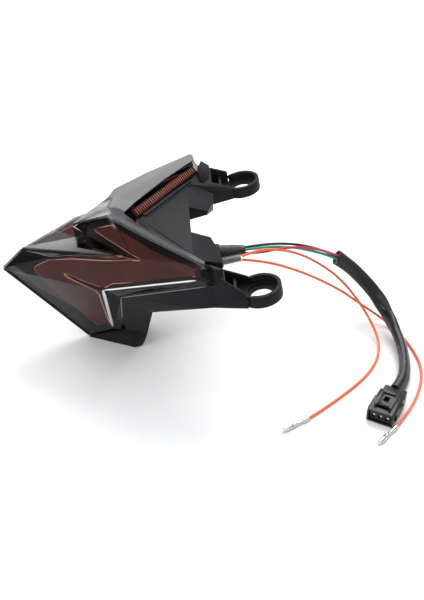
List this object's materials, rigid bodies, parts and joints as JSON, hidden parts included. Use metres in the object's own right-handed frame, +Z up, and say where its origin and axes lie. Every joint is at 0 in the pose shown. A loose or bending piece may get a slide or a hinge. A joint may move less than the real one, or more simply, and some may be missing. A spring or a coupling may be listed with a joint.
{
  "type": "motorcycle tail light",
  "caption": "Swept delta-wing motorcycle LED tail light with smoked faceted lens, Z-shaped red light guides, two mounting ears and a wired harness ending in a locking plug and bullet terminals.",
  "frame": {"origin": "under the middle of the light's own box, harness not counted, on the plane its chin stands on", "axes": "+Z up, +Y from the lens's tip towards the mounting ears, X across the light"},
  "size_m": [0.2543, 0.3449, 0.1299],
  "materials": {
    "smoked_lens": "clear smoked, polished",
    "bezel_black": "gloss black",
    "diffuser_red": "moulded translucent red",
    "board": "solder mask",
    "led_chip": "moulded LED package",
    "gloss_black": "polished black",
    "strip_red": "ribbed translucent red behind smoke",
    "housing_black": "fine moulded texture",
    "rubber_black": "matt",
    "shrink_black": "satin heat-shrink",
    "clear_tube": "milky clear tube",
    "wire_green": "satin insulation",
    "wire_black": "satin insulation",
    "wire_red": "satin insulation",
    "wire_orange": "satin insulation",
    "loom_vinyl": "soft vinyl sleeve",
    "connector_black": "moulded, satin",
    "contact_tin": "tin plate"
  },
  "bodies": {
    "light": {"arrow_trim": "gloss_black", "bullet_terminal_left": "contact_tin", "bullet_terminal_right": "contact_tin", "clear_sleeve": "clear_tube", "connector_contacts": "contact_tin", "connector_housing": "connector_black", "connector_retainer": "connector_black", "connector_seal": "rubber_black", "harness_sleeve": "shrink_black", "housing": "housing_black", "inner_bezel": "bezel_black", "led_board_left": "board", "led_board_right": "board", "leds_left": "led_chip", "leds_right": "led_chip", "lens": "smoked_lens", "lens_seal_left": "rubber_black", "lens_seal_right": "rubber_black", "loom_sleeve": "loom_vinyl", "top_cover": "gloss_black", "upper_strip_left": "strip_red", "upper_strip_right": "strip_red", "wire_black": "wire_black", "wire_boot": "rubber_black", "wire_green": "wire_green", "wire_orange_left": "wire_orange", "wire_orange_right": "wire_orange", "wire_red": "wire_red", "z_diffuser_left": "diffuser_red", "z_diffuser_right": "diffuser_red"},
    "lock_lever": {"connector_lever": "connector_black"}
  },
  "joints": [
    {"name": "lock_lever_press", "type": "hinge", "parent": "light", "child": "lock_lever", "pos_m": [0.12309, 0.18763, 0.0135], "axis": [-0.53, -0.848, 0], "range_deg": [0, 4], "stiffness_Nm_per_rad": 0.5}
  ]
}
